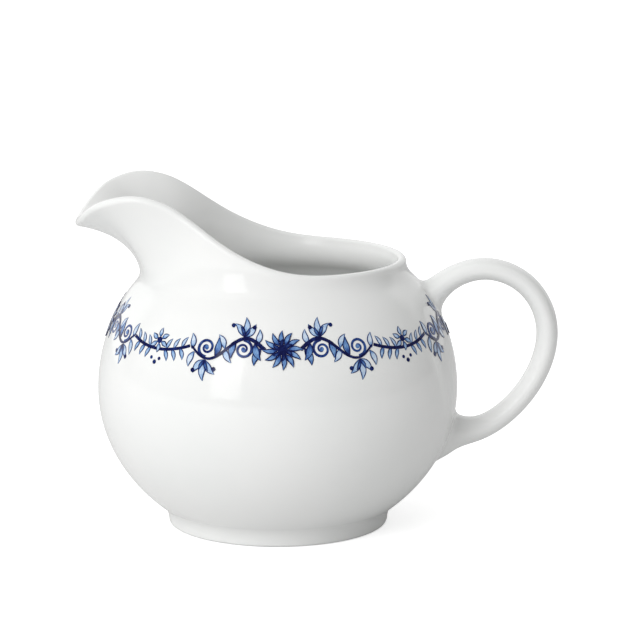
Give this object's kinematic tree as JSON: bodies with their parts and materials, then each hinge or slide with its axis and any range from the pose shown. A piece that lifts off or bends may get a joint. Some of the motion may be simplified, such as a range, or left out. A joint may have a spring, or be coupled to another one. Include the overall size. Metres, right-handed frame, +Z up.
{
  "type": "porcelain cream jug",
  "caption": "Small round-bellied porcelain cream jug with a broad raised pouring lip, a loop handle and a blue scrollwork band on the shoulder.",
  "frame": {"origin": "on the table under the middle of the jug's overall length (the bowl's axis is at x = -10.35 mm)", "axes": "+X towards the handle, -X towards the pouring lip, +Z up"},
  "size_m": [0.1248, 0.0934, 0.0892],
  "materials": {
    "porcelain": "white porcelain under a clear gloss glaze; the foot ring's resting face is ground and unglazed",
    "porcelain_handle": "the same white porcelain and clear gloss glaze, on the handle",
    "slip": "porcelain slip, sponged smooth and glazed over",
    "blue_print": "cobalt blue transfer print fired into the glaze, navy lines with pale washes"
  },
  "bodies": {
    "root": {"body": "porcelain", "handle": "porcelain_handle", "upper_slip_joint": "slip", "lower_slip_joint": "slip", "cartouche_handle": "blue_print", "cartouche_back": "blue_print", "cartouche_lip": "blue_print", "cartouche_front": "blue_print", "garland_back_right": "blue_print", "garland_back_left": "blue_print", "garland_front_left": "blue_print", "garland_front_right": "blue_print"}
  },
  "joints": []
}
